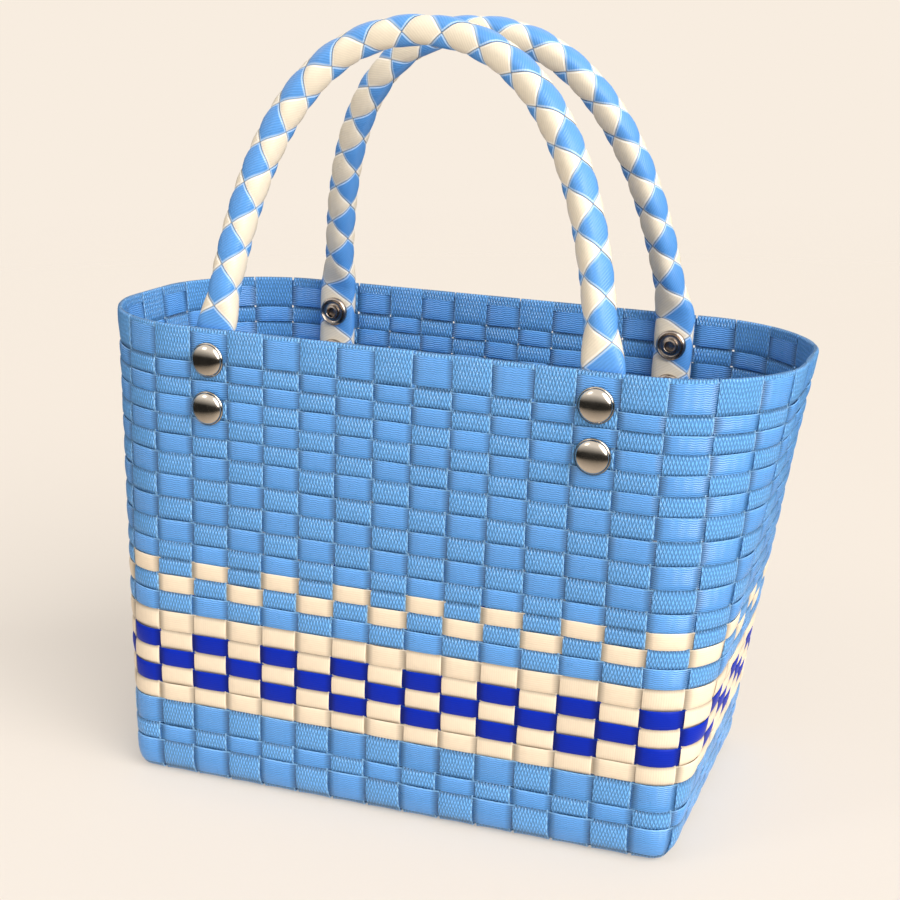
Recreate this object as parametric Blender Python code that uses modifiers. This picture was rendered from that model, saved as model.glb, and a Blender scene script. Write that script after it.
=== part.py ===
"""Woven tote bag: a basket of flat plastic straps with two braided handles.

The basket is one wall: straps woven over one and under one, 15 columns on the front and the back, 7 on
each side, from a flat base to a folded rim. Every crossing stands proud of the seams around it, and the
seams are open where four straps meet under the rim. Each handle is a braid of four flat straps, its two
ends flattened inside the wall and held by two rivets each: a domed cap outside, a turned socket inside.

Metres, +Z up, the base on z = 0. The front wall faces -Y.
"""

import math

import bmesh
import bpy
from mathutils import Matrix, Vector
from mathutils.geometry import interpolate_bezier

# Weave
FRONT_COLUMNS = 15
SIDE_COLUMNS = 7
ROWS = 22
RIM_ROW_HEIGHT = 0.0165
CROSSING_THICKNESS = 0.0026
SEAM_THICKNESS = 0.0013
SEAM_GAP = 0.0011
GAP_ROW = 1

# Basket
HEIGHT = 0.197
BASE_WIDTH = 0.243
BASE_DEPTH = 0.124
RIM_WIDTH = 0.286
RIM_DEPTH = 0.126
BASE_CORNER = 0.008
RIM_CORNER = 0.048
RIM_BOW = 0.004
RIM_SPREAD = 0.12
SPREAD_REACH = 2.5
RIM_SHIFT = 0.010
RIM_TILT = -0.005

# Handles
HANDLE_COLUMN = 2.5
HANDLE_RISE = 0.116
HANDLE_DIAMETER = 0.0118
HANDLE_ACROSS_CORNERS = 0.0138
HANDLE_RIDGE = 0.0006
HANDLE_LEAN = 0.027
ARCH_SHOULDER = 0.90
ARCH_SPRING = 0.014
ARCH_NARROWING = 0.004
ARCH_STEPS = 60
BRAID_PITCH = 0.0165
TAIL_LENGTH = 0.041
TAIL_WIDTH = 0.0165
TAIL_THICKNESS = 0.0072
TAIL_FLAT_SHARE = 0.84
TAIL_BLEND = 0.016

# Rivets
UPPER_RIVET_DROP = 0.0122
LOWER_RIVET_DROP = 0.0317
SHANK_DIAMETER = 0.0030
SHANK_CLEARANCE = 0.0004
SHANK_END_SHARE = 0.6
CAP_DIAMETER = 0.0142
CAP_HEIGHT = 0.0036
CAP_EDGE = 0.0009
DOME_STEPS = 4
SOCKET_DIAMETER = 0.0130
SOCKET_HEIGHT = 0.0036
SOCKET_EDGE = 0.0012
SOCKET_DISH = 0.0007
SOCKET_BORE = 0.0042
COLLAR_WALL = 0.0008
TURNED_STEPS = 16

FIT = 0.0003
MERGE = 0.00001
PROBE = 0.1

COLUMNS = 2 * (FRONT_COLUMNS + SIDE_COLUMNS)
CORNERS = (0, FRONT_COLUMNS, FRONT_COLUMNS + SIDE_COLUMNS, COLUMNS - SIDE_COLUMNS, COLUMNS)
HALF_WALL = CROSSING_THICKNESS / 2


def lerp(start, end, share):
    """The value at a share of the way from start to end."""
    return start + (end - start) * share


def new_collection(name):
    """Adds an empty collection to the scene."""
    collection = bpy.data.collections.new(name)
    bpy.context.scene.collection.children.link(collection)
    return collection


def new_material(name, color, roughness, metallic=0.0):
    """Makes a Principled BSDF material."""
    material = bpy.data.materials.new(name)
    material.use_nodes = True
    shader = material.node_tree.nodes["Principled BSDF"]
    shader.inputs["Base Color"].default_value = (*color, 1.0)
    shader.inputs["Roughness"].default_value = roughness
    shader.inputs["Metallic"].default_value = metallic
    material.diffuse_color = (*color, 1.0)
    return material


def new_object(name, mesh, collection, material=None):
    """Links a mesh object into a collection, with its own material."""
    part = bpy.data.objects.new(name, mesh)
    if material:
        mesh.materials.append(material)
    collection.objects.link(part)
    return part


def applied(part):
    """Replaces an object's mesh with its mesh after its modifiers."""
    graph = bpy.context.evaluated_depsgraph_get()
    mesh = bpy.data.meshes.new_from_object(part.evaluated_get(graph))
    part.modifiers.clear()
    part.data = mesh


def spread_column(column, level):
    """Where a column line lies once the columns near the corners have fanned out, in column widths."""
    spread = RIM_SPREAD * level * SPREAD_REACH * math.sqrt(math.pi) / 2
    return column + spread * sum(math.erf((column - corner) / SPREAD_REACH) for corner in CORNERS)


def outline_point(distance, half_width, half_depth, corner, bow):
    """A point of the rounded outline, at a distance from the middle of its front."""
    front = half_width - corner
    arc = corner * math.pi / 2
    quarter = front + arc + half_depth - corner
    distance = distance % (4 * quarter)
    mirror_x = -1 if distance > 2 * quarter else 1
    distance = min(distance, 4 * quarter - distance)
    mirror_y = -1 if distance > quarter else 1
    distance = min(distance, 2 * quarter - distance)
    if distance < front:
        x, y = distance, -half_depth
    elif distance < front + arc:
        angle = (distance - front) / corner
        x = front + corner * math.sin(angle)
        y = corner - half_depth - corner * math.cos(angle)
    else:
        x, y = half_width, distance - quarter
    x += bow * (1 - (y / half_depth) ** 2) * (x / half_width) ** 6
    return mirror_x * x, mirror_y * y, 4 * quarter


def wall_point(column, height):
    """The middle of the wall's thickness at a column line and a height above the base."""
    level = (height - HALF_WALL) / (HEIGHT - HALF_WALL)
    half_width = lerp(BASE_WIDTH, RIM_WIDTH, level) / 2 - HALF_WALL
    half_depth = lerp(BASE_DEPTH, RIM_DEPTH, level) / 2 - HALF_WALL
    corner = lerp(BASE_CORNER, RIM_CORNER, level)
    around = outline_point(0, half_width, half_depth, corner, 0)[2]
    column = column % COLUMNS
    middle = spread_column(FRONT_COLUMNS / 2, level)
    whole = spread_column(COLUMNS, level) - spread_column(0, level)
    distance = (spread_column(column, level) - middle) / whole * around
    x, y, _ = outline_point(distance, half_width, half_depth, corner, RIM_BOW * level)
    z = height + RIM_TILT * level * x / half_width
    return Vector((x + RIM_SHIFT * (level - 1), y, z))


def wall_frame(column, height):
    """A matrix on the middle of the wall: its Z axis points out of the basket, its Y axis up the wall."""
    across = wall_point(column + PROBE, height) - wall_point(column - PROBE, height)
    up = wall_point(column, height + HALF_WALL) - wall_point(column, height - HALF_WALL)
    outward = across.cross(up).normalized()
    up = outward.cross(across).normalized()
    frame = Matrix((up.cross(outward), up, outward)).transposed().to_4x4()
    frame.translation = wall_point(column, height)
    return frame


def row_heights():
    """The heights of the lines between rows, from the base to the rim."""
    below = HEIGHT - RIM_ROW_HEIGHT
    heights = [lerp(HALF_WALL, below, row / (ROWS - 1)) for row in range(ROWS)]
    return heights + [HEIGHT]


def build_basket(collection, material):
    """The woven wall and base: an open sheet of cells, thick at each crossing and thin along the seams."""
    form = bmesh.new()
    heights = row_heights()
    rings = [[form.verts.new(wall_point(column, z)) for column in range(COLUMNS)] for z in heights]
    for lower, upper in zip(rings, rings[1:]):
        for column in range(COLUMNS):
            after = (column + 1) % COLUMNS
            form.faces.new((lower[column], lower[after], upper[after], upper[column]))
    form.faces.new(list(reversed(rings[0])))
    base_ring = set(rings[0])
    rim_line = rings[-1 - GAP_ROW]
    bmesh.ops.bevel(form, geom=rim_line, offset=SEAM_GAP, offset_type="OFFSET", affect="VERTICES")
    open_seams = [face for face in form.faces if face.calc_area() < 4 * SEAM_GAP**2]
    bmesh.ops.delete(form, geom=open_seams, context="FACES")
    cells = [face for face in form.faces if not all(vert in base_ring for vert in face.verts)]
    crossings = bmesh.ops.poke(form, faces=cells)["verts"]
    form.verts.index_update()
    thick = [vert.index for vert in crossings] + [vert.index for vert in base_ring]
    mesh = bpy.data.meshes.new("woven_basket")
    form.to_mesh(mesh)
    form.free()
    basket = new_object("woven_basket", mesh, collection, material)
    group = basket.vertex_groups.new(name="crossings")
    group.add(thick, 1.0, "REPLACE")
    shell = basket.modifiers.new("thickness", "SOLIDIFY")
    shell.thickness = CROSSING_THICKNESS
    shell.offset = 0
    shell.use_even_offset = True
    shell.vertex_group = group.name
    shell.thickness_vertex_group = SEAM_THICKNESS / CROSSING_THICKNESS
    applied(basket)
    for vert in basket.data.vertices:
        if vert.co.z < HALF_WALL:
            vert.co.z = 0
    return basket


def rivet_columns():
    """The column lines with rivets, as pairs of columns for each handle: front, then back."""
    left, right = HANDLE_COLUMN, FRONT_COLUMNS - HANDLE_COLUMN
    behind = FRONT_COLUMNS + SIDE_COLUMNS
    return {"front": (left, right), "back": (behind + left, behind + right)}


def rivet_frames():
    """The places of the rivets on the middle of the wall, by name."""
    places = {}
    for side, columns in rivet_columns().items():
        for number, column in enumerate(columns, 1):
            places[f"{side}_{number}_upper"] = wall_frame(column, HEIGHT - UPPER_RIVET_DROP)
            places[f"{side}_{number}_lower"] = wall_frame(column, HEIGHT - LOWER_RIVET_DROP)
    return places


def handle_path(columns):
    """The centre line of a handle, with the share of flattening at each point."""
    inset = HALF_WALL + FIT + TAIL_THICKNESS / 2
    feet = []
    rims = []
    for column in columns:
        rim = wall_frame(column, HEIGHT)
        foot = wall_frame(column, HEIGHT - TAIL_LENGTH)
        rims.append(rim @ Vector((0, 0, -inset)))
        feet.append(foot @ Vector((0, 0, -inset)))
    inward = -wall_frame(columns[0], HEIGHT).col[2].to_3d()
    half = (rims[1] - rims[0]) / 2
    along = half.normalized()
    apex = (rims[0] + rims[1]) / 2 + inward * HANDLE_LEAN + Vector((0, 0, HANDLE_RISE))
    points = [feet[0]]
    for rim, sign in ((rims[0], -1), (rims[1], 1)):
        rise = (apex - rim) - along * (apex - rim).dot(along)
        spring = rim + rise.normalized() * ARCH_SPRING - along * sign * ARCH_NARROWING
        shoulder = apex + half * sign * ARCH_SHOULDER
        arc = interpolate_bezier(rim, spring, shoulder, apex, ARCH_STEPS)
        points += arc if sign < 0 else list(reversed(arc))[1:]
    return points + [feet[1]]


def spaced(points, spacing):
    """Points at an even spacing along a path: an even number of steps, near the spacing asked for."""
    lengths = [0]
    for before, after in zip(points, points[1:]):
        lengths.append(lengths[-1] + (after - before).length)
    steps = 2 * round(lengths[-1] / spacing / 2)
    result = []
    segment = 0
    for step in range(steps + 1):
        wanted = lengths[-1] * step / steps
        while segment < len(points) - 2 and lengths[segment + 1] < wanted:
            segment += 1
        share = (wanted - lengths[segment]) / (lengths[segment + 1] - lengths[segment])
        result.append((points[segment].lerp(points[segment + 1], share), wanted))
    return result, lengths[-1]


def build_handle(name, columns, collection, material):
    """A braided handle: four strap columns around a core, their tiles ridged, the two ends pressed flat."""
    rings, length = spaced(handle_path(columns), BRAID_PITCH / 2)
    outward = wall_frame(columns[0], HEIGHT).col[2].to_3d()
    square = HANDLE_ACROSS_CORNERS / 2 / math.sqrt(2)
    form = bmesh.new()
    loops = []
    corners = []
    for index, (point, distance) in enumerate(rings):
        before = rings[max(index - 1, 0)][0]
        after = rings[min(index + 1, len(rings) - 1)][0]
        tangent = (after - before).normalized()
        face = (outward - tangent * outward.dot(tangent)).normalized()
        side = tangent.cross(face)
        to_end = min(distance, length - distance) - TAIL_LENGTH
        round_share = min(max(to_end / TAIL_BLEND, 0), 1)
        thick = lerp(TAIL_THICKNESS, HANDLE_DIAMETER, round_share) / 2
        wide = lerp(TAIL_WIDTH, HANDLE_DIAMETER, round_share) / 2
        ridge = HANDLE_RIDGE / 2 * round_share * (1 if index % 2 else -1)
        radii = (thick + ridge, wide - ridge, thick + ridge, wide - ridge)
        axes = (face, side, -face, -side)
        loops.append([form.verts.new(point + axis * radius) for axis, radius in zip(axes, radii)])
        corner_face = lerp(TAIL_THICKNESS / 2, square, round_share)
        corner_side = lerp(TAIL_WIDTH / 2 * TAIL_FLAT_SHARE, square, round_share)
        corners.append((face * corner_face, side * corner_side, point))
    for index, (lower, upper) in enumerate(zip(loops, loops[1:])):
        face, side, middle = ((low + high) / 2 for low, high in zip(corners[index], corners[index + 1]))
        for quarter, offset in enumerate((face + side, side - face, -face - side, face - side)):
            following = (quarter + 1) % 4
            corner = form.verts.new(middle + offset)
            ring = (lower[quarter], lower[following], upper[following], upper[quarter])
            for first, second in zip(ring, ring[1:] + ring[:1]):
                form.faces.new((first, second, corner))
    form.faces.new(list(reversed(loops[0])))
    form.faces.new(loops[-1])
    bmesh.ops.recalc_face_normals(form, faces=form.faces)
    mesh = bpy.data.meshes.new(name)
    form.to_mesh(mesh)
    form.free()
    mesh.shade_smooth()
    return new_object(name, mesh, collection, material)


def turned(name, profile, closed, place, collection, material):
    """A turned piece: a profile of (radius, height) points swept around the Z axis of its place."""
    mesh = bpy.data.meshes.new(name)
    edges = [(index, index + 1) for index in range(len(profile) - 1)]
    if closed:
        edges.append((len(profile) - 1, 0))
    mesh.from_pydata([(radius, 0, height) for radius, height in profile], edges, [])
    part = new_object(name, mesh, collection, material)
    screw = part.modifiers.new("turn", "SCREW")
    screw.axis = "Z"
    screw.steps = TURNED_STEPS
    screw.render_steps = TURNED_STEPS
    screw.use_merge_vertices = True
    screw.merge_threshold = MERGE
    screw.use_smooth_shade = True
    part.matrix_world = place
    return part


def build_cap(name, place, collection, material):
    """A domed rivet cap with its shank, which runs through the wall and the handle into the socket."""
    radius = CAP_DIAMETER / 2
    shank = SHANK_DIAMETER / 2
    turns = [math.pi / 2 * step / DOME_STEPS for step in range(DOME_STEPS + 1)]
    profile = [(radius * math.sin(turn), lerp(CAP_EDGE, CAP_HEIGHT, math.cos(turn))) for turn in turns]
    reach = 2 * (HALF_WALL + FIT) + TAIL_THICKNESS + FIT + SOCKET_HEIGHT * SHANK_END_SHARE
    profile += [(radius, 0), (shank, 0), (shank, -reach), (0, -reach)]
    seat = place @ Matrix.Translation((0, 0, HALF_WALL + FIT))
    return turned(name, profile, False, seat, collection, material)


def build_socket(name, place, collection, material):
    """A turned rivet socket inside the bag: a dished washer with a collar around the shank's end."""
    radius = SOCKET_DIAMETER / 2
    bore = SOCKET_BORE / 2
    collar = bore + COLLAR_WALL
    profile = [(collar, SOCKET_HEIGHT), (collar, SOCKET_DISH), (radius - SOCKET_EDGE, SOCKET_DISH),
               (radius - SOCKET_EDGE / 2, SOCKET_EDGE), (radius, SOCKET_EDGE / 2), (radius, 0),
               (bore, 0), (bore, SOCKET_HEIGHT)]
    depth = HALF_WALL + FIT + TAIL_THICKNESS + FIT
    seat = place @ Matrix.Translation((0, 0, -depth)) @ Matrix.Rotation(math.pi, 4, "X")
    return turned(name, profile, True, seat, collection, material)


def rivet_cutter(name, place, collection):
    """A cylinder that clears a rivet's shank through the wall and the handle."""
    depth = 4 * (CROSSING_THICKNESS + TAIL_THICKNESS)
    radius = SHANK_DIAMETER / 2 + SHANK_CLEARANCE
    form = bmesh.new()
    bmesh.ops.create_cone(
        form, cap_ends=True, segments=TURNED_STEPS, radius1=radius, radius2=radius, depth=depth
    )
    mesh = bpy.data.meshes.new(name)
    form.to_mesh(mesh)
    form.free()
    cutter = new_object(name, mesh, collection)
    cutter.matrix_world = place
    cutter.display_type = "WIRE"
    cutter.hide_render = True
    return cutter


def main():
    for item in list(bpy.data.objects):
        bpy.data.objects.remove(item, do_unlink=True)
    parts = new_collection("woven_tote_bag")
    cutters = new_collection("cutters")
    blue = new_material("blue_strap", (0.13, 0.33, 0.72), 0.4)
    front_braid = new_material("front_braid", (0.35, 0.48, 0.75), 0.4)
    back_braid = new_material("back_braid", (0.35, 0.48, 0.75), 0.4)
    basket = build_basket(parts, blue)
    handles = {
        "front": build_handle("handle_front", rivet_columns()["front"], parts, front_braid),
        "back": build_handle("handle_back", rivet_columns()["back"], parts, back_braid),
    }
    for name, place in rivet_frames().items():
        cap_metal = new_material(f"cap_metal_{name}", (0.20, 0.18, 0.16), 0.2, 1.0)
        socket_metal = new_material(f"socket_metal_{name}", (0.20, 0.18, 0.16), 0.3, 1.0)
        build_cap(f"rivet_cap_{name}", place, parts, cap_metal)
        build_socket(f"rivet_socket_{name}", place, parts, socket_metal)
        cutter = rivet_cutter(f"cutter_{name}", place, cutters)
        for pierced in (basket, handles[name.split("_")[0]]):
            hole = pierced.modifiers.new(f"hole_{name}", "BOOLEAN")
            hole.object = cutter
            hole.operation = "DIFFERENCE"
            hole.solver = "EXACT"


if __name__ == "__main__":
    main()
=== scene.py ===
"""Looks of the woven tote bag: plastic straps woven one by one, two braided handles and their rivets.

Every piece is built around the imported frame, in metres, in the frame's own axes.
"""

import logging
import math
from dataclasses import dataclass, field
from enum import Enum

import bpy
import numpy as np
from mathutils import Matrix, Vector


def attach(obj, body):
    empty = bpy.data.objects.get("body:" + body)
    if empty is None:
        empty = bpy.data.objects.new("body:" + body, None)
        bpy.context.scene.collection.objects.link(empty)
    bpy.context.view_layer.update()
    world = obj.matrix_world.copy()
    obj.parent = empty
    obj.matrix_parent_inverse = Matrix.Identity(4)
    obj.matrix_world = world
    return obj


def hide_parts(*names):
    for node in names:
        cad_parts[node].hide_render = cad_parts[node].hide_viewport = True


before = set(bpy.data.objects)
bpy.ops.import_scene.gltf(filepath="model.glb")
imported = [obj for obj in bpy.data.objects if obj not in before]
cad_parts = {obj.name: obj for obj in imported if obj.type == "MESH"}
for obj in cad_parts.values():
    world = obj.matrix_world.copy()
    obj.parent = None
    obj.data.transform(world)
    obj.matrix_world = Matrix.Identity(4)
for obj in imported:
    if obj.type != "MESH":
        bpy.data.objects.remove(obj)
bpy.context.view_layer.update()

LOG = logging.getLogger("woven_tote_bag")
MM = 0.001
ERF = np.vectorize(math.erf, otypes=[float])

# Columns between a corner line of the basket and the middle of a handle's end.
HANDLE_INSET = 2.5
# The share of half a strap's width past which its rolled edge begins, and its painted highlight.
ROLLED_EDGE = 0.95
# Creases steeper than these are shaded sharp.
STRAP_SHARP = math.radians(55)
METAL_SHARP = math.radians(60)
# How each braid turns about its line, in degrees, at even steps from the end on its first column.
BRAID_TWISTS = {"front": (84.0, 70.0, -4.0, 32.0, 48.0), "back": (-36.0, -26.0, -12.0, 10.0, 30.0)}

Color = tuple[float, float, float]
Station = tuple[float, float, int]


class Tint(Enum):
    """The colours a strap comes in."""

    BLUE = "blue"
    CREAM = "cream"
    NAVY = "navy"


class Emboss(Enum):
    """How the surface of a strap is rolled."""

    DIAMOND = "diamond"
    LINES = "lines"
    RIBS = "ribs"


@dataclass(frozen=True)
class StrapFinish:
    """The plastic of a strap: its colour, its rolled surface and its gloss, with painted shade in its
    grooves and where it passes under its neighbours, and a painted highlight along its edge.
    """

    name: str
    color: Color
    # The colour of the painted highlight along the strap's edge.
    edge_highlight_color: Color
    emboss: Emboss
    relief: float
    roughness: float
    # The colour in the emboss's grooves, as a share of the plain colour: painted shade.
    shade: float
    specular: float = 0.5
    diamond: tuple[float, float] = (3.8 * MM, 1.35 * MM)
    line_pitch: float = 0.85 * MM
    rib_pitch: float = 0.9 * MM
    mottle_scale: float = 420.0
    mottle_tone: float = 0.10
    mottle_rough: float = 0.12
    bump_strength: float = 0.9

    def material(self) -> bpy.types.Material:
        """Builds the material. It reads the strap's own UV map, in metres along and across it.

        Returns:
            The node material.
        """
        graph = ShaderGraph(self.name)
        along, across = graph.strap_axes()
        if self.emboss is Emboss.DIAMOND:
            height = graph.diamonds(along, across, *self.diamond)
        elif self.emboss is Emboss.LINES:
            height = graph.waves(along, across, self.line_pitch)
        else:
            height = graph.ribs(across, self.rib_pitch)
        mottle = graph.noise(self.mottle_scale, 2.0)
        uneven = graph.math("MULTIPLY_ADD", mottle, self.mottle_tone, -self.mottle_tone / 2)
        # Painted shade: the grooves of the emboss are darker.
        tone = graph.math("MULTIPLY_ADD", height, 1.0 - self.shade, self.shade)
        tone = graph.math("ADD", tone, uneven)
        # Painted shade where the strap passes under its neighbours.
        tone = graph.math("MULTIPLY", tone, graph.crease_shade())
        base = graph.tinted(self.color, tone)
        # Painted highlight along the strap's edge.
        color = graph.mix(graph.edge_highlight(), base, self.edge_highlight_color)
        bump = graph.bump(height, self.relief, self.bump_strength)
        rough = graph.math("MULTIPLY_ADD", mottle, self.mottle_rough, self.roughness - self.mottle_rough / 2)
        graph.principled(color, rough, bump, metallic=0.0, specular=self.specular)
        return graph.done()


@dataclass(frozen=True)
class MetalFinish:
    """Polished metal with a little handling haze."""

    name: str
    color: Color
    roughness: float
    haze_scale: float = 260.0
    haze_tone: float = 0.25
    haze_rough: float = 0.16
    darkest: float = 0.86
    grain_scale: float = 1900.0
    grain_relief: float = 0.006 * MM
    grain_strength: float = 0.3

    def material(self) -> bpy.types.Material:
        """Builds the material.

        Returns:
            The node material.
        """
        graph = ShaderGraph(self.name)
        haze = graph.noise(self.haze_scale, 4.0)
        grain = graph.noise(self.grain_scale, 3.0)
        tone = graph.math("MULTIPLY_ADD", haze, self.haze_tone, self.darkest)
        color = graph.tinted(self.color, tone)
        rough = graph.math("MULTIPLY_ADD", haze, self.haze_rough, self.roughness - self.haze_rough / 2)
        bump = graph.bump(grain, self.grain_relief, self.grain_strength)
        graph.principled(color, rough, bump, metallic=1.0, specular=0.5)
        return graph.done()


class ShaderGraph:
    """A small builder of node materials."""

    WANDER_SCALE: float = 300.0
    WANDER: float = 0.5
    GROOVE_SLOPE: float = 3.2
    SWAY_LENGTH: float = 3.4 * MM
    SWAY: float = 0.16
    # How strong the painted highlight along a strap's edge is.
    EDGE_HIGHLIGHT_SHOWN: float = 0.5
    # How dark the painted shade gets where a strap passes under its neighbours.
    CREASE_SHADE_DEPTH: float = 0.62
    def __init__(self, name: str) -> None:
        """Starts an empty material.

        Args:
            name: The material's name.
        """
        self.made = bpy.data.materials.new(name)
        self.made.use_nodes = True
        self.tree = self.made.node_tree
        self.tree.nodes.clear()
        self.output = self.tree.nodes.new("ShaderNodeOutputMaterial")

    def link(self, value: object, socket: bpy.types.NodeSocket) -> None:
        """Links a socket, or writes a plain value, into a socket.

        Args:
            value: An output socket or a number or colour.
            socket: The input that takes it.
        """
        if isinstance(value, bpy.types.NodeSocket):
            self.tree.links.new(value, socket)
        else:
            socket.default_value = value

    def math(self, operation: str, *values: object) -> bpy.types.NodeSocket:
        """Adds a Math node.

        Args:
            operation: The node's operation.
            values: Its inputs in order.

        Returns:
            The result socket.
        """
        node = self.tree.nodes.new("ShaderNodeMath")
        node.operation = operation
        for socket, value in zip(node.inputs, values):
            self.link(value, socket)
        return node.outputs[0]

    def strap_axes(self) -> tuple[bpy.types.NodeSocket, bpy.types.NodeSocket]:
        """Reads the strap's UV map.

        Returns:
            Metres along the strap, and metres across it from its middle.
        """
        uv = self.tree.nodes.new("ShaderNodeUVMap")
        uv.uv_map = "strap"
        split = self.tree.nodes.new("ShaderNodeSeparateXYZ")
        self.link(uv.outputs[0], split.inputs[0])
        return split.outputs[0], split.outputs[1]

    def triangle_wave(self, value: bpy.types.NodeSocket) -> bpy.types.NodeSocket:
        """A wave from 0 to 0.5 and back over each whole step of a value."""
        return self.math("PINGPONG", value, 0.5)

    def diamonds(
        self, along: object, across: object, length: float, width: float
    ) -> bpy.types.NodeSocket:
        """Long diamonds pressed into a strap.

        Args:
            along: Metres along the strap.
            across: Metres across it.
            length: A diamond's length.
            width: A diamond's width.

        Returns:
            Height from 0 in the grooves to 1 on the diamonds.
        """
        run = self.math("DIVIDE", along, length)
        side = self.math("DIVIDE", across, width)
        wander = self.noise(self.WANDER_SCALE, 1.0)
        run = self.math("MULTIPLY_ADD", wander, self.WANDER, run)
        first = self.triangle_wave(self.math("ADD", run, side))
        second = self.triangle_wave(self.math("SUBTRACT", run, side))
        groove = self.math("MULTIPLY", self.math("MINIMUM", first, second), self.GROOVE_SLOPE)
        return self.math("MINIMUM", groove, 1.0)

    def waves(self, along: object, across: object, pitch: float) -> bpy.types.NodeSocket:
        """Fine lines along a strap that waver a little.

        Args:
            along: Metres along the strap.
            across: Metres across it.
            pitch: The distance between lines.

        Returns:
            Height from 0 to 1.
        """
        sway = self.math("SINE", self.math("MULTIPLY", along, 2 * math.pi / self.SWAY_LENGTH))
        place = self.math("MULTIPLY_ADD", sway, self.SWAY, self.math("DIVIDE", across, pitch))
        return self.math("MULTIPLY", self.triangle_wave(place), 2.0)

    def ribs(self, across: object, pitch: float) -> bpy.types.NodeSocket:
        """Faint ribs along a strap.

        Args:
            across: Metres across the strap.
            pitch: The distance between ribs.

        Returns:
            Height from 0 to 1.
        """
        wave = self.triangle_wave(self.math("DIVIDE", across, pitch))
        return self.math("MULTIPLY", wave, 2.0)

    def attribute(self, name: str) -> bpy.types.NodeSocket:
        """Reads a number stored on the piece's points.

        Args:
            name: The attribute's name.

        Returns:
            The number.
        """
        node = self.tree.nodes.new("ShaderNodeAttribute")
        node.attribute_name = name
        return node.outputs["Fac"]

    def edge_highlight(self) -> bpy.types.NodeSocket:
        """How much painted highlight lies along a strap's edge."""
        return self.math("MULTIPLY", self.attribute("edge"), self.EDGE_HIGHLIGHT_SHOWN)

    def crease_shade(self) -> bpy.types.NodeSocket:
        """Painted shade on a strap: 1 in the open and darker where it passes under its neighbours."""
        return self.math("MULTIPLY_ADD", self.attribute("painted_shade"), -self.CREASE_SHADE_DEPTH, 1.0)

    def noise(self, scale: float, detail: float) -> bpy.types.NodeSocket:
        """Adds noise on object coordinates.

        Args:
            scale: Its scale, per metre.
            detail: Its detail.

        Returns:
            A value from 0 to 1.
        """
        place = self.tree.nodes.new("ShaderNodeTexCoord")
        node = self.tree.nodes.new("ShaderNodeTexNoise")
        node.inputs["Scale"].default_value = scale
        node.inputs["Detail"].default_value = detail
        self.link(place.outputs["Object"], node.inputs["Vector"])
        return node.outputs["Fac"]

    def tinted(self, color: Color, tone: object) -> bpy.types.NodeSocket:
        """Scales a colour by a tone.

        Args:
            color: The colour.
            tone: The tone, 1 for the plain colour.

        Returns:
            The scaled colour.
        """
        node = self.tree.nodes.new("ShaderNodeVectorMath")
        node.operation = "SCALE"
        node.inputs[0].default_value = color
        self.link(tone, node.inputs["Scale"])
        return node.outputs[0]

    def mix(self, factor: object, first: object, second: Color) -> bpy.types.NodeSocket:
        """Mixes two colours. The Mix node lists its colour sockets after those for numbers and vectors.

        Args:
            factor: 0 for the first colour, 1 for the second.
            first: The first colour.
            second: The second colour.

        Returns:
            The mixed colour.
        """
        node = self.tree.nodes.new("ShaderNodeMix")
        node.data_type = "RGBA"
        self.link(factor, node.inputs[0])
        self.link(first, node.inputs[6])
        node.inputs[7].default_value = (*second, 1.0)
        return node.outputs[2]

    def bump(self, height: object, distance: float, strength: float) -> bpy.types.NodeSocket:
        """Adds a Bump node.

        Args:
            height: The height, from 0 to 1.
            distance: Metres of relief for a height of 1.
            strength: The node's strength.

        Returns:
            The bumped normal.
        """
        node = self.tree.nodes.new("ShaderNodeBump")
        node.inputs["Strength"].default_value = strength
        node.inputs["Distance"].default_value = distance
        self.link(height, node.inputs["Height"])
        return node.outputs[0]

    def principled(
        self, color: object, rough: object, normal: object, metallic: float, specular: float
    ) -> None:
        """Adds the shader and links it to the output.

        Args:
            color: The base colour.
            rough: The roughness.
            normal: The bumped normal.
            metallic: The metallic value.
            specular: The specular level.
        """
        node = self.tree.nodes.new("ShaderNodeBsdfPrincipled")
        self.link(color, node.inputs["Base Color"])
        self.link(rough, node.inputs["Roughness"])
        self.link(normal, node.inputs["Normal"])
        node.inputs["Metallic"].default_value = metallic
        node.inputs["Specular IOR Level"].default_value = specular
        self.link(node.outputs[0], self.output.inputs[0])

    def done(self) -> bpy.types.Material:
        """Returns the finished material."""
        return self.made


UPRIGHT_BLUE = StrapFinish(
    name="upright_blue",
    color=(0.165, 0.48, 0.98),
    edge_highlight_color=(0.42, 0.72, 1.0),
    emboss=Emboss.DIAMOND,
    relief=0.42 * MM,
    roughness=0.32,
    shade=0.60,
)
LEVEL_FINISHES = {
    Tint.BLUE: StrapFinish(
        name="level_blue",
        color=(0.120, 0.385, 0.87),
        edge_highlight_color=(0.36, 0.68, 1.0),
        emboss=Emboss.LINES,
        relief=0.22 * MM,
        roughness=0.30,
        shade=0.78,
    ),
    Tint.CREAM: StrapFinish(
        name="cream_strap",
        color=(0.88, 0.72, 0.53),
        edge_highlight_color=(0.95, 0.83, 0.66),
        emboss=Emboss.RIBS,
        relief=0.05 * MM,
        roughness=0.42,
        shade=0.94,
    ),
    Tint.NAVY: StrapFinish(
        name="navy_strap",
        color=(0.0, 0.020, 0.43),
        edge_highlight_color=(0.0, 0.05, 0.52),
        emboss=Emboss.RIBS,
        relief=0.04 * MM,
        roughness=0.44,
        shade=0.9,
        specular=0.15,
    ),
}
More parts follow.
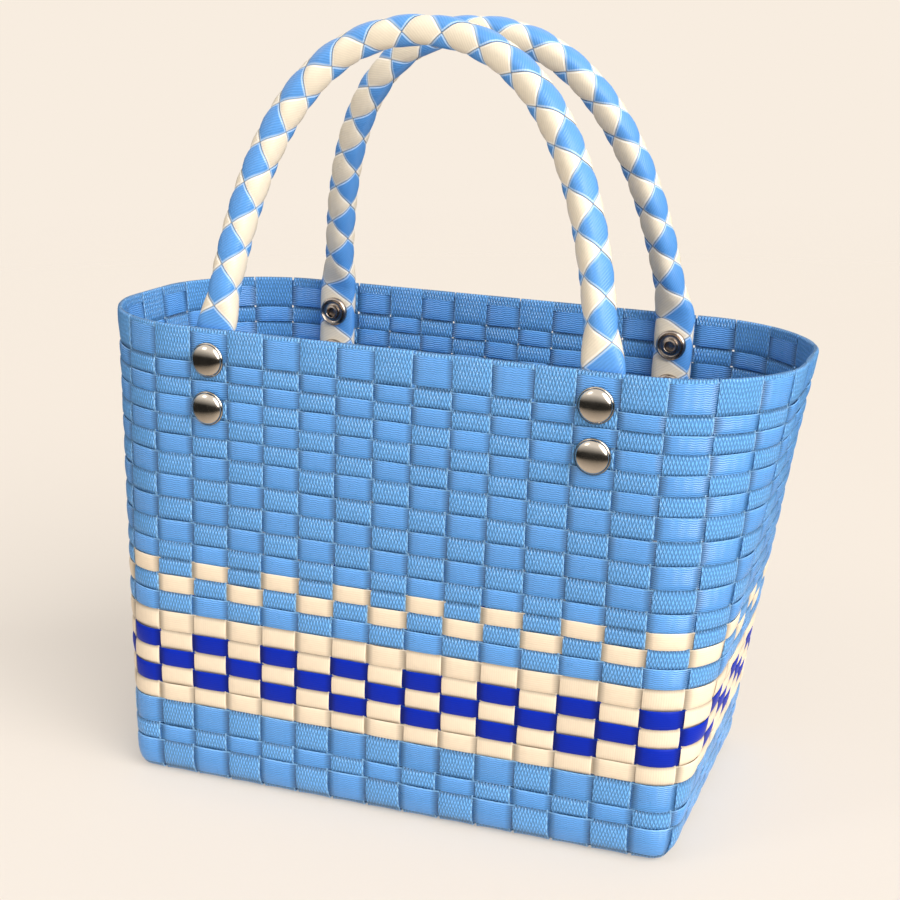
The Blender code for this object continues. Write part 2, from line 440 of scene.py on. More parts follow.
BRAID_FINISHES = {
    Tint.BLUE: StrapFinish(
        name="braid_blue",
        color=(0.105, 0.34, 0.78),
        edge_highlight_color=(0.62, 0.80, 0.98),
        emboss=Emboss.RIBS,
        relief=0.10 * MM,
        roughness=0.36,
        shade=0.84,
    ),
    Tint.CREAM: StrapFinish(
        name="braid_cream",
        color=(0.86, 0.75, 0.58),
        edge_highlight_color=(0.98, 0.95, 0.90),
        emboss=Emboss.RIBS,
        relief=0.05 * MM,
        roughness=0.38,
        shade=0.93,
    ),
}
NICKEL = MetalFinish(name="dark_nickel", color=(0.52, 0.45, 0.37), roughness=0.15)
HOLLOW = MetalFinish(name="socket_nickel", color=(0.36, 0.30, 0.25), roughness=0.24)


@dataclass
class BagForm:
    """The shape of the basket: the middle of its wall at any column and height."""

    height: float = 197 * MM
    wall: float = 2.6 * MM
    base_width: float = 243 * MM
    base_depth: float = 124 * MM
    rim_width: float = 286 * MM
    rim_depth: float = 126 * MM
    base_corner: float = 8 * MM
    rim_corner: float = 48 * MM
    rim_bow: float = 4 * MM
    bow_power: int = 6
    rim_spread: float = 0.12
    spread_reach: float = 2.5
    rim_shift: float = 10 * MM
    rim_tilt: float = -5 * MM
    front_columns: int = 15
    side_columns: int = 7
    normal_step: float = 0.05
    pitch_step: float = 0.25
    turn_step: float = 0.1

    @property
    def columns(self) -> int:
        """The number of columns all round."""
        return 2 * (self.front_columns + self.side_columns)

    @property
    def corners(self) -> tuple[int, ...]:
        """The column lines at the corners."""
        front, side = self.front_columns, self.side_columns
        return (0, front, front + side, self.columns - side, self.columns)

    def spread(self, column: np.ndarray, level: np.ndarray) -> np.ndarray:
        """Where column lines lie once the columns near the corners have fanned out.

        Args:
            column: Column lines.
            level: Heights as shares of the basket's.

        Returns:
            Places in column widths.
        """
        reach = self.spread_reach
        pull = sum(ERF((column - corner) / reach) for corner in self.corners)
        return column + self.rim_spread * level * reach * math.sqrt(math.pi) / 2 * pull

    def point(self, column: np.ndarray, height: np.ndarray) -> np.ndarray:
        """The middle of the wall.

        Args:
            column: Column lines, of any shape.
            height: Heights, of the same shape.

        Returns:
            Points, with a last axis of three.
        """
        column, height = np.broadcast_arrays(np.asarray(column, float), np.asarray(height, float))
        half_wall = self.wall / 2
        level = (height - half_wall) / (self.height - half_wall)
        half_width = (self.base_width + (self.rim_width - self.base_width) * level) / 2 - half_wall
        half_depth = (self.base_depth + (self.rim_depth - self.base_depth) * level) / 2 - half_wall
        corner = self.base_corner + (self.rim_corner - self.base_corner) * level
        front = half_width - corner
        arc = corner * math.pi / 2
        quarter = front + arc + half_depth - corner
        start = self.spread(np.zeros_like(level), level)
        whole = self.spread(np.full_like(level, self.columns), level) - start
        middle = self.spread(np.full_like(level, self.front_columns / 2), level)
        turn = column % self.columns
        run = (self.spread(turn, level) - middle) / whole * 4 * quarter % (4 * quarter)
        mirror_x = np.where(run > 2 * quarter, -1.0, 1.0)
        run = np.minimum(run, 4 * quarter - run)
        mirror_y = np.where(run > quarter, -1.0, 1.0)
        run = np.minimum(run, 2 * quarter - run)
        angle = np.clip((run - front) / corner, 0, math.pi / 2)
        x = np.minimum(run, front) + corner * np.sin(angle)
        y = corner - half_depth - corner * np.cos(angle) + np.maximum(run - front - arc, 0)
        bow = self.rim_bow * level * (1 - (y / half_depth) ** 2) * (x / half_width) ** self.bow_power
        x = x + bow
        x, y = mirror_x * x, mirror_y * y
        z = height + self.rim_tilt * level * x / half_width
        return np.stack([x + self.rim_shift * (level - 1), y, z], -1)

    def outward(self, column: np.ndarray, height: np.ndarray) -> np.ndarray:
        """Unit normals of the wall, pointing out of the basket.

        Args:
            column: Column lines, of any shape.
            height: Heights, of the same shape.

        Returns:
            Normals, with a last axis of three.
        """
        step = self.normal_step
        across = self.point(column + step, height) - self.point(column - step, height)
        up = self.point(column, height + self.wall) - self.point(column, height - self.wall)
        normal = np.cross(across, up)
        return normal / np.linalg.norm(normal, axis=-1, keepdims=True)

    def pitch(self, column: np.ndarray, height: np.ndarray) -> np.ndarray:
        """The width of a column.

        Args:
            column: Column lines, of any shape.
            height: Heights, of the same shape.

        Returns:
            Widths, of the same shape.
        """
        step = self.pitch_step
        across = self.point(column + step, height) - self.point(column - step, height)
        return np.linalg.norm(across, axis=-1) / (2 * step)

    def frame_at(self, column: float, height: float) -> Matrix:
        """The place and turn of the wall's middle.

        Args:
            column: The column line.
            height: The height.

        Returns:
            A matrix with Z out of the basket and Y up the wall.
        """
        step = self.turn_step
        place = Vector(self.point(column, height))
        outward = Vector(self.outward(np.array(column), np.array(height)))
        across = Vector(self.point(column + step, height) - self.point(column - step, height))
        up = outward.cross(across).normalized()
        matrix = Matrix((up.cross(outward), up, outward)).transposed().to_4x4()
        matrix.translation = place
        return matrix

class PatchMesh:
    """Collects grids of points, with their strap coordinates, into one mesh."""

    def __init__(self) -> None:
        """Starts with nothing."""
        self.points: list[np.ndarray] = []
        self.faces: list[np.ndarray] = []
        self.maps: list[np.ndarray] = []
        self.edges: list[np.ndarray] = []
        self.painted_shades: list[np.ndarray] = []
        self.count = 0

    def add(
        self, points: np.ndarray, along: np.ndarray, across: np.ndarray, edge: np.ndarray, painted_shade: np.ndarray
    ) -> None:
        """Adds a grid of quads.

        Args:
            points: Points in rows and columns.
            along: Metres along the strap, for each point.
            across: Metres across the strap, for each point.
            edge: How much painted highlight each point takes, along the strap's edge.
            painted_shade: How much painted shade each point takes.
        """
        rows, columns = points.shape[:2]
        index = np.arange(rows * columns).reshape(rows, columns) + self.count
        quads = np.stack([index[:-1, :-1], index[:-1, 1:], index[1:, 1:], index[1:, :-1]], -1)
        self.points.append(points.reshape(-1, 3))
        self.faces.append(quads.reshape(-1, 4))
        self.maps.append(np.stack([along.ravel(), across.ravel()], -1))
        self.edges.append(np.broadcast_to(edge, points.shape[:2]).ravel())
        self.painted_shades.append(np.broadcast_to(painted_shade, points.shape[:2]).ravel())
        self.count += rows * columns

    def build(
        self, name: str, thickness: float, offset: float, material: bpy.types.Material
    ) -> bpy.types.Object:
        """Makes the object and gives its sheet a thickness.

        Args:
            name: The piece's name.
            thickness: The strap's thickness.
            offset: Where the sheet lies in it, from -1 to 1.
            material: Its finish.

        Returns:
            The finished object.
        """
        points = np.concatenate(self.points)
        faces = np.concatenate(self.faces)
        mesh = bpy.data.meshes.new(name)
        mesh.from_pydata(points.tolist(), [], faces.tolist())
        layer = mesh.uv_layers.new(name="strap")
        layer.data.foreach_set("uv", np.concatenate(self.maps)[faces.ravel()].ravel())
        # Stores the painted edge highlight and the painted shade that the materials read.
        for kind, values in (("edge", self.edges), ("painted_shade", self.painted_shades)):
            stored = mesh.attributes.new(kind, "FLOAT", "POINT")
            stored.data.foreach_set("value", np.concatenate(values))
        mesh.materials.append(material)
        piece = bpy.data.objects.new(name, mesh)
        bpy.context.scene.collection.objects.link(piece)
        shell = piece.modifiers.new("thickness", "SOLIDIFY")
        shell.thickness = thickness
        shell.offset = offset
        graph = bpy.context.evaluated_depsgraph_get()
        finished = bpy.data.meshes.new_from_object(piece.evaluated_get(graph))
        piece.modifiers.clear()
        piece.data = finished
        finished.shade_smooth()
        finished.set_sharp_from_angle(angle=STRAP_SHARP)
        return piece


@dataclass
class Weave:
    """The basket's straps, each woven over one and under one.

    The parts in row_shares are the heights of the rows from the rim down, and the last of them is what
    turns under the base. The places in across are shares of half a strap's width, where a strip has points.
    """

    form: BagForm
    low_share: float = 0.895
    share_gain: float = 0.07
    level_share: float = 0.955
    base_share: float = 0.48
    strap_thickness: float = 0.6 * MM
    swing: float = 0.95 * MM
    swing_spread: tuple[float, float] = (0.92, 1.08)
    wave_power: int = 4
    # How fast the painted shade fades as a strap stands off the middle of the wall.
    crease_shade_power: float = 1.5
    crown: float = 0.38 * MM
    roll: float = 0.22 * MM
    lean: float = 0.22 * MM
    fold_radius: float = 0.85 * MM
    fold_steps: int = 7
    fold_lap: float = 3.0 * MM
    inner_lap: float = 0.3
    top_gaps: tuple[float, float] = (0.6 * MM, 0.3 * MM)
    patchy: float = 0.07
    # The painted highlight along a strap's other edge, as a share of that along its first.
    far_edge_highlight: float = 0.25
    tuck: float = 2.6 * MM
    tuck_height: float = 11 * MM
    base_inset: float = 5.5 * MM
    foot_insets: tuple[float, ...] = (-9.0 * MM, -5.0 * MM, -2.4 * MM, -1.0 * MM, -0.25 * MM)
    foot_heights: tuple[float, ...] = (0.75 * MM, 0.75 * MM, 0.8 * MM, 1.3 * MM, 2.4 * MM)
    sway: float = 0.35 * MM
    sway_length: float = 21 * MM
    sway_start: float = 20 * MM
    level_waves: tuple[int, int] = (5, 13)
    steps: int = 6
    seed: int = 11
    dash_rows: tuple[int, int] = (11, 12)
    band_top: int = 14
    band_bottom: int = 18
    flip_row: int = 11
    row_shares: tuple[float, ...] = (
        13.9, 7.1, 7.3, 8, 8.1, 8, 9.6, 9.5, 9.6, 9.5, 7.8,
        7.1, 7.7, 8.6, 8.7, 8, 8, 8, 7.7, 11.9, 7.3, 12.6, 3,
    )
    across: np.ndarray = field(default_factory=lambda: np.array([-1, -0.9, -0.5, 0, 0.5, 0.9, 1.0]))

    def __post_init__(self) -> None:
        """Works out the lines between rows, from the rim down, and starts the meshes."""
        shares = np.cumsum((0, *self.row_shares))
        self.lines = self.form.height * (1 - shares / shares[-1])
        self.rows = len(self.row_shares) - 1
        self.upright = {tint: PatchMesh() for tint in (Tint.BLUE, Tint.CREAM)}
        self.level = {tint: PatchMesh() for tint in Tint}
        self.random = np.random.default_rng(self.seed)

    def upright_outside(self, row: int, column: int) -> bool:
        """Whether the upright strap is the outer one at a crossing."""
        turned = row >= self.flip_row
        return (row + column + turned) % 2 == 1

    def level_tint(self, row: int) -> Tint:
        """The colour of a level strap.

        Args:
            row: Its row, from the rim down.

        Returns:
            The colour.
        """
        if row in (*self.dash_rows, self.band_top, self.band_bottom):
            return Tint.CREAM
        return Tint.NAVY if self.band_top < row < self.band_bottom else Tint.BLUE

    def upright_tint(self, row: int) -> Tint:
        """The colour of an upright strap in a row."""
        return Tint.CREAM if self.band_top <= row <= self.band_bottom else Tint.BLUE

    def wave(self, step: np.ndarray) -> np.ndarray:
        """How far a strap stands off the middle of the wall within a crossing, from 0 to 1 and back."""
        return 1 - np.abs(2 * step - 1) ** self.wave_power

    def crease_shade(self, lift: np.ndarray) -> np.ndarray:
        """How much painted shade a strap takes, from its offset: 1 at the middle of the wall, 0 at a full
        swing.
        """
        return np.clip(1 - np.abs(lift) / self.swing, 0, 1) ** self.crease_shade_power

    def profile(self, lift: np.ndarray) -> np.ndarray:
        """A strap's offset over its width, for offsets of its middle.

        Args:
            lift: Offsets of the middle of the strap.

        Returns:
            Offsets, with one more axis for the width.
        """
        share = (lift / self.swing)[..., None]
        fall = self.crown * self.across**2 + self.roll * (np.abs(self.across) > ROLLED_EDGE)
        return lift[..., None] - share * fall

    def lay(
        self, mesh: PatchMesh, column: np.ndarray, height: np.ndarray, out: np.ndarray, along: np.ndarray,
        half: np.ndarray, painted_shade: np.ndarray,
    ) -> None:
        """Adds a strip on the wall.

        Args:
            mesh: The mesh that takes it.
            column: Column lines of the points.
            height: Heights of the points.
            out: Offsets from the middle of the wall.
            along: Metres along the strap.
            half: Half the strap's width, for each step along it.
            painted_shade: How much painted shade each step along it takes.
        """
        low = np.clip(1 - height / self.tuck_height, 0, 1)
        out = out - self.tuck * low**2
        points = self.form.point(column, height) + self.form.outward(column, height) * out[..., None]
        side = half[:, None] * self.across[None]
        # Painted highlight along one edge of the strap, weaker along the other.
        edge = (self.across > ROLLED_EDGE) + self.far_edge_highlight * (self.across < -ROLLED_EDGE)
        # Painted shade where the strap passes under its neighbours, plus a random tone for each strip.
        shade = painted_shade[:, None] + self.random.uniform(-self.patchy, self.patchy)
        mesh.add(points, np.broadcast_to(along[:, None], side.shape), side, edge, shade)

    def upright_stations(self, column: int) -> list[Station]:
        """Follows one upright strap from under the base, up the wall and over its fold at the rim.

        Args:
            column: The strap's column.

        Returns:
            Height, offset from the middle of the wall, and row, for each step along the strap.
        """
        last = self.rows - 1
        stations = [(z, inset, last) for inset, z in zip(self.foot_insets, self.foot_heights)]
        for row in reversed(range(self.rows)):
            low, high = self.lines[row + 1], self.lines[row]
            sign = 1 if self.upright_outside(row, column) else -1
            swing = sign * self.swing * self.random.uniform(*self.swing_spread)
            shorter = self.fold_radius if row == 0 else 0
            for step in np.arange(0 if row == last else 1, self.steps + 1) / self.steps:
                stays_out = row == 0 and step > 0.5
                share = 1.0 if stays_out else self.wave(step)
                stations.append((low + (high - low) * step - shorter * step, swing * share, row))
        side = 1 if self.upright_outside(0, column) else -1
        top = stations[-1][0]
        for turn in np.linspace(0, math.pi, self.fold_steps)[1:]:
            rise = self.fold_radius * math.sin(turn)
            out = side * (self.swing + self.fold_radius * (math.cos(turn) - 1))
            stations.append((top + rise, out, 0))
        lap = self.fold_lap if side > 0 else self.fold_lap * self.inner_lap
        stations.append((top - lap, stations[-1][1], 0))
        return stations

    def colour_runs(self, stations: list[Station]) -> list[list[Station]]:
        """Cuts an upright strap where its colour changes.

        Args:
            stations: The stations of the whole strap.

        Returns:
            Lengths of one colour, each of which starts where the one before it ends.
        """
        runs = [[stations[0]]]
        for before, station in zip(stations, stations[1:]):
            if self.upright_tint(station[2]) is not self.upright_tint(before[2]):
                runs.append([before])
            runs[-1].append(station)
        return runs

    def upright_strip(self, column: int) -> None:
        """Lays one upright strap, in lengths of one colour.

        Args:
            column: The strap's column.
        """
        centre = column + 0.5
        runs = self.colour_runs(self.upright_stations(column))
        phase = self.random.uniform(0, 2 * math.pi)
        for run in runs:
            height = np.array([z for z, _, _ in run])
            lift = np.array([out for _, out, _ in run])
            wide = self.form.pitch(np.full_like(height, centre), np.minimum(height, self.form.height))
            half = wide * (self.low_share + self.share_gain * height / self.form.height) / 2
            column_lines = centre + (half / wide)[:, None] * self.across[None]
            heights = np.repeat(height[:, None], len(self.across), 1)
            bend = np.sin(height / self.sway_length + phase) * np.clip(height / self.sway_start, 0, 1)
            column_lines = column_lines + (bend * self.sway / wide)[:, None]
            length = np.concatenate([[0], np.cumsum(np.hypot(np.diff(height), np.diff(lift)))]) + height[0]
            tint = self.upright_tint(run[-1][2])
            under_base = np.abs(lift) > self.swing * 1.5
            out = np.where(under_base[:, None], lift[:, None], self.profile(lift))
            self.lay(self.upright[tint], column_lines, heights, out, length, half, self.crease_shade(lift))

    def level_strip(self, row: int) -> None:
        """Lays one level strap all round the basket.

        Args:
            row: Its row, from the rim down.
        """
        low, high = self.lines[row + 1], self.lines[row]
        high -= self.fold_radius if row == 0 else 0
        low += self.top_gaps[row] if row < len(self.top_gaps) else 0
        middle = (low + high) / 2
        half = (high - low) / 2 * self.level_share
        steps = np.arange(self.form.columns * self.steps + 1) / self.steps
        cell = np.minimum(steps.astype(int), self.form.columns - 1)
        outer = np.array([-1 if self.upright_outside(row, int(c)) else 1 for c in cell])
        lift = outer * self.swing * self.wave(steps - cell)
        tint = self.level_tint(row)
        column = np.repeat(steps[:, None], len(self.across), 1)
        phase, lap = self.random.uniform(0, 2 * math.pi), 2 * math.pi / self.form.columns
        slow, quick = self.level_waves
        wander = np.sin(steps * lap * slow + phase) + np.sin(steps * lap * quick + 2 * phase)
        height = middle + half * self.across[None] + (wander * self.sway / 3)[:, None]
        along = steps * self.form.pitch(np.array(self.form.front_columns / 2), np.array(middle))
        out = self.profile(lift) + self.lean * self.across
        self.lay(self.level[tint], column, height, out, along, np.full(len(steps), half), self.crease_shade(lift))

    def base_strips(self) -> None:
        """Weaves the base from the straps that run under it."""
        front, side = self.form.front_columns, self.form.side_columns
        reach_x = self.form.base_width / 2 - self.base_inset
        reach_y = self.form.base_depth / 2 - self.base_inset
        shift = -self.form.rim_shift
        pitch_x, pitch_y = 2 * reach_x / front, 2 * reach_y / side
        # Painted highlight along both sides of each strap.
        edge = (np.abs(self.across) > ROLLED_EDGE) * 1.0
        for lengthwise in (False, True):
            count, other = (side, front) if lengthwise else (front, side)
            pitch, far = (pitch_y, reach_x) if lengthwise else (pitch_x, reach_y)
            for strap in range(count):
                place = (strap + 0.5 - count / 2) * pitch
                steps = np.arange(other * self.steps + 1) / self.steps
                cell = np.minimum(steps.astype(int), other - 1)
                upper = np.where((cell + strap + lengthwise) % 2 == 0, 1, -1)
                lift = upper * self.swing * self.wave(steps - cell)
                run = (steps / other * 2 - 1) * far
                half = pitch * self.base_share
                line, cross = np.meshgrid(run, half * self.across, indexing="ij")
                z = self.form.wall / 2 + self.profile(lift)
                if lengthwise:
                    points = np.stack([line + shift, cross + place, z], -1)
                else:
                    points = np.stack([cross + place + shift, line, z], -1)[:, ::-1]
                self.upright[Tint.BLUE].add(points, line, cross, edge, self.crease_shade(lift)[:, None])

    def build(self) -> list[bpy.types.Object]:
        """Builds every strap of the basket.

        Returns:
            One piece for each direction and colour.
        """
        for column in range(self.form.columns):
            self.upright_strip(column)
        for row in range(self.rows):
            self.level_strip(row)
        self.base_strips()
        made = []
        for kind, meshes, looks in (("upright", self.upright, UPRIGHT), ("level", self.level, LEVEL)):
            for tint, mesh in meshes.items():
                piece = mesh.build(f"{kind}_straps_{tint.value}", self.strap_thickness, 0.0, looks[tint])
                made.append(piece)
        return made


@dataclass
class BraidedHandle:
    """A handle braided from two blue and two cream straps, with its ends pressed flat."""

    form: BagForm
    name: str
    columns: tuple[float, float]
    twists: tuple[float, ...]
    diameter: float = 11.0 * MM
    rise: float = 116 * MM
    lean: float = 27 * MM
    shoulder: float = 0.90
    spring: float = 14 * MM
    narrowing: float = 4 * MM
    pitch: float = 16.5 * MM
    tail_length: float = 41 * MM
    tail_width: float = 16.5 * MM
    tail_thickness: float = 7.2 * MM
    tail_blend: float = 16 * MM
    fit: float = 0.3 * MM
    bulge: float = 0.42 * MM
    sink: float = 0.22 * MM
    squareness: float = 3.2
    tile_steps: int = 6
    tile_edge: float = 0.04
    tile_roll: float = 0.12 * MM
    strap_thickness: float = 0.5 * MM
    # How strong the painted highlight on a tile's rolled rim is, and how dark the painted shade in the gaps
    # between tiles is.
    edge_highlight_tone: float = 1.5
    gap_painted_shade: float = 0.8
    pattern_share: float = 0.7
    flat_relief: float = 0.35
    twist_span: tuple[float, float] = (0.1, 0.9)
    tangent_step: float = 2 * MM
    arc_steps: int = 160
    foot_steps: int = 30
    core_rings: int = 150
    core_sides: int = 16
    core_inset: float = 0.4 * MM
    core_sink: float = 0.9 * MM
    # The painted shade of the core, darker than a tile's gap.
    core_painted_shade: float = 1.2

    def path(self) -> tuple[np.ndarray, np.ndarray]:
        """The centre line.

        Returns:
            Points at a fine spacing, and their distances along the line.
        """
        inset = self.form.wall / 2 + self.fit + self.tail_thickness / 2
        top = self.form.height
        rims = [self.form.frame_at(c, top) @ Vector((0, 0, -inset)) for c in self.columns]
        low = top - self.tail_length
        feet = [self.form.frame_at(c, low) @ Vector((0, 0, -inset)) for c in self.columns]
        inward = -self.form.frame_at(self.columns[0], top).col[2].to_3d()
        half = (rims[1] - rims[0]) / 2
        apex = (rims[0] + rims[1]) / 2 + inward * self.lean + Vector((0, 0, self.rise))
        along = half.normalized()
        arcs = []
        for rim, sign in zip(rims, (-1, 1)):
            climb = (apex - rim) - along * (apex - rim).dot(along)
            spring = rim + climb.normalized() * self.spring - along * sign * self.narrowing
            shoulder = apex + half * sign * self.shoulder
            t = np.linspace(0, 1, self.arc_steps)[:, None]
            knots = [np.array(p) for p in (rim, spring, shoulder, apex)]
            arcs.append(knots[0] * (1 - t) ** 3 + knots[1] * 3 * t * (1 - t) ** 2
                        + knots[2] * 3 * t**2 * (1 - t) + knots[3] * t**3)
        foot = np.linspace(0, 1, self.foot_steps)[:-1, None]
        first = np.array(feet[0]) * (1 - foot) + np.array(rims[0]) * foot
        last = np.array(feet[1]) * (1 - foot) + np.array(rims[1]) * foot
        points = np.concatenate([first, arcs[0], arcs[1][::-1][1:], last[::-1]])
        distance = np.concatenate([[0], np.cumsum(np.linalg.norm(np.diff(points, axis=0), axis=1))])
        return points, distance

    def centre(self, run: np.ndarray) -> np.ndarray:
        """Points of the centre line, at distances along it."""
        return np.stack([np.interp(run, self.distance, self.points[:, k]) for k in range(3)], -1)

    def square(self, angle: np.ndarray) -> np.ndarray:
        """The reach of a rounded square, 1 across its flats, at an angle."""
        power = self.squareness
        return (np.abs(np.cos(angle)) ** power + np.abs(np.sin(angle)) ** power) ** (-1 / power)

    def surface(self, angle: np.ndarray, run: np.ndarray, lift: np.ndarray) -> np.ndarray:
        """Points of the braid's surface.

        Args:
            angle: Angles round the braid, before it twists.
            run: Distances along the centre line.
            lift: Heights above the plain section.

        Returns:
            Points, with a last axis of three.
        """
        length = self.distance[-1]
        run = np.clip(run, 0, length)
        tangent = self.centre(run + self.tangent_step) - self.centre(run - self.tangent_step)
        tangent /= np.linalg.norm(tangent, axis=-1, keepdims=True)
        outward = np.array(self.form.frame_at(self.columns[0], self.form.height).col[2].to_3d())
        face = outward - tangent * (tangent @ outward)[..., None]
        face /= np.linalg.norm(face, axis=-1, keepdims=True)
        side = np.cross(tangent, face)
        to_end = np.minimum(run, length - run) - self.tail_length
        round_share = np.clip(to_end / self.tail_blend, 0, 1)
        round_share = round_share**2 * (3 - 2 * round_share)
        turns = np.linspace(*self.twist_span, len(self.twists))
        twist = np.radians(np.interp(run / length, turns, self.twists))
        reach = self.diameter / 2 * self.square(angle) + lift
        own_face, own_side = reach * np.cos(angle), reach * np.sin(angle)
        cos, sin = np.cos(twist), np.sin(twist)
        round_face, round_side = own_face * cos - own_side * sin, own_face * sin + own_side * cos
        turned = angle + twist
        flat_lift = lift * self.flat_relief
        flat_face = (self.tail_thickness / 2 + flat_lift) * self.square(turned) * np.cos(turned)
        flat_side = (self.tail_width / 2 + flat_lift) * self.square(turned) * np.sin(turned)
        along_face = flat_face + (round_face - flat_face) * round_share
        along_side = flat_side + (round_side - flat_side) * round_share
        return self.centre(run) + face * along_face[..., None] + side * along_side[..., None]

    def build(self) -> list[bpy.types.Object]:
        """Builds the braid's tiles, one mesh for each colour, and a core that closes its ends.

        Returns:
            The pieces.
        """
        self.points, self.distance = self.path()
        length = self.distance[-1]
        count = 2 * round(length / self.pitch)
        half_pitch = length / count
        meshes = {Tint.BLUE: PatchMesh(), Tint.CREAM: PatchMesh()}
        rim = self.tile_edge
        inner = np.linspace(2 * rim, 1 - 2 * rim, self.tile_steps)
        lines = np.concatenate([[0, rim], inner, [1 - rim, 1]])
        b, a = np.meshgrid(lines, lines, indexing="ij")
        from_middle, from_line = np.abs(2 * a - 1), np.abs(2 * b - 1)
        crown = (1 - from_middle**4) * (1 - from_line**4)
        border = np.maximum(from_middle, from_line)
        # The outermost ring of points lies in the gap between tiles and takes painted shade, the next one
        # lies on the rolled edge and takes a painted highlight.
        edge = ((border > 0.9) & (border < 0.99)) * self.edge_highlight_tone
        painted_shade = (border > 0.99) * self.gap_painted_shade
        roll = self.tile_roll * (2 * a - 1) * (1 - crown)
        lift = self.bulge * crown - self.sink * (1 - crown) + roll
        pattern = self.pitch * self.pattern_share
        # A tile that starts or ends the braid may reach half a tile past its end, where it is clipped.
        overhang = half_pitch * 1.01
        for side in range(4):
            tint = Tint.CREAM if side % 2 == 0 else Tint.BLUE
            for step in range(count + 1):
                if (step + side) % 2:
                    continue
                angle = side * math.pi / 2 + (a - b) * math.pi / 2
                run = step * half_pitch + (a + b - 1) * half_pitch
                if run.min() < -overhang or run.max() > length + overhang:
                    continue
                points = self.surface(angle, run, lift)
                meshes[tint].add(points, a * pattern, (b - 0.5) * pattern, edge, painted_shade)
        made = []
        for tint, mesh in meshes.items():
            piece = mesh.build(f"{self.name}_{tint.value}", self.strap_thickness, -1.0, BRAIDS[tint])
            made.append(piece)
        made.append(self.core())
        return made

    def core(self) -> bpy.types.Object:
        """A closed core inside the tiles, painted dark to stand for the shade in the small holes between
        them.

        Returns:
            The core.
        """
        rings = np.linspace(self.core_inset, self.distance[-1] - self.core_inset, self.core_rings)
        angles = np.linspace(0, 2 * math.pi, self.core_sides, endpoint=False)
        run, angle = np.meshgrid(rings, angles, indexing="ij")
        points = self.surface(angle, run, np.full_like(run, -self.core_sink))
        rows, columns = run.shape
        index = np.arange(rows * columns).reshape(rows, columns)
        after = np.roll(index, -1, 1)
        quads = np.stack([index[:-1], after[:-1], after[1:], index[1:]], -1).reshape(-1, 4)
        mesh = bpy.data.meshes.new(f"{self.name}_core")
        caps = [index[0][::-1].tolist(), index[-1].tolist()]
        mesh.from_pydata(points.reshape(-1, 3).tolist(), [], quads.tolist() + caps)
        mesh.materials.append(BRAIDS[Tint.BLUE])
        mesh.uv_layers.new(name="strap")
        # Painted shade: the core takes the braid's blue, darkened past any tile's gap.
        shade = mesh.attributes.new("painted_shade", "FLOAT", "POINT")
        shade.data.foreach_set("value", np.full(rows * columns, self.core_painted_shade))
        mesh.shade_smooth()
        piece = bpy.data.objects.new(f"{self.name}_core", mesh)
        bpy.context.scene.collection.objects.link(piece)
        return piece


